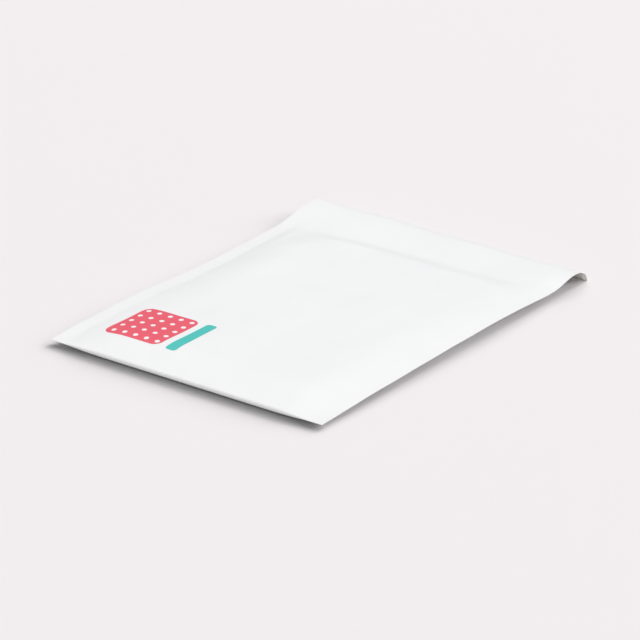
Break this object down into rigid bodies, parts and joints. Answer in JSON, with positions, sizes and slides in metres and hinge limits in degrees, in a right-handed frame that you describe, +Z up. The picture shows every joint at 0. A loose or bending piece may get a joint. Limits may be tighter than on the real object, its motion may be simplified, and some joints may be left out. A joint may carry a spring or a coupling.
{
  "type": "padded envelope",
  "caption": "White paper mailing envelope lined with bubble film, lying flat with its peel-and-seal flap open behind its mouth.",
  "frame": {"origin": "under the middle of the whole outline, on the surface that the envelope lies on", "axes": "+X across the envelope to the right, +Y from the bottom fold to the flap, +Z up out of the printed front"},
  "size_m": [0.24, 0.33, 0.013],
  "materials": {
    "paper": "uncoated white kraft paper, faintly fibrous",
    "bubble_film": "clear polyethylene bubble film",
    "adhesive": "clear pressure-sensitive adhesive",
    "release_liner": "cream silicone-coated release paper"
  },
  "bodies": {
    "root": {"paper_envelope": "paper", "bubble_lining": "bubble_film", "adhesive_strip": "adhesive", "release_liner": "release_liner"}
  },
  "joints": []
}
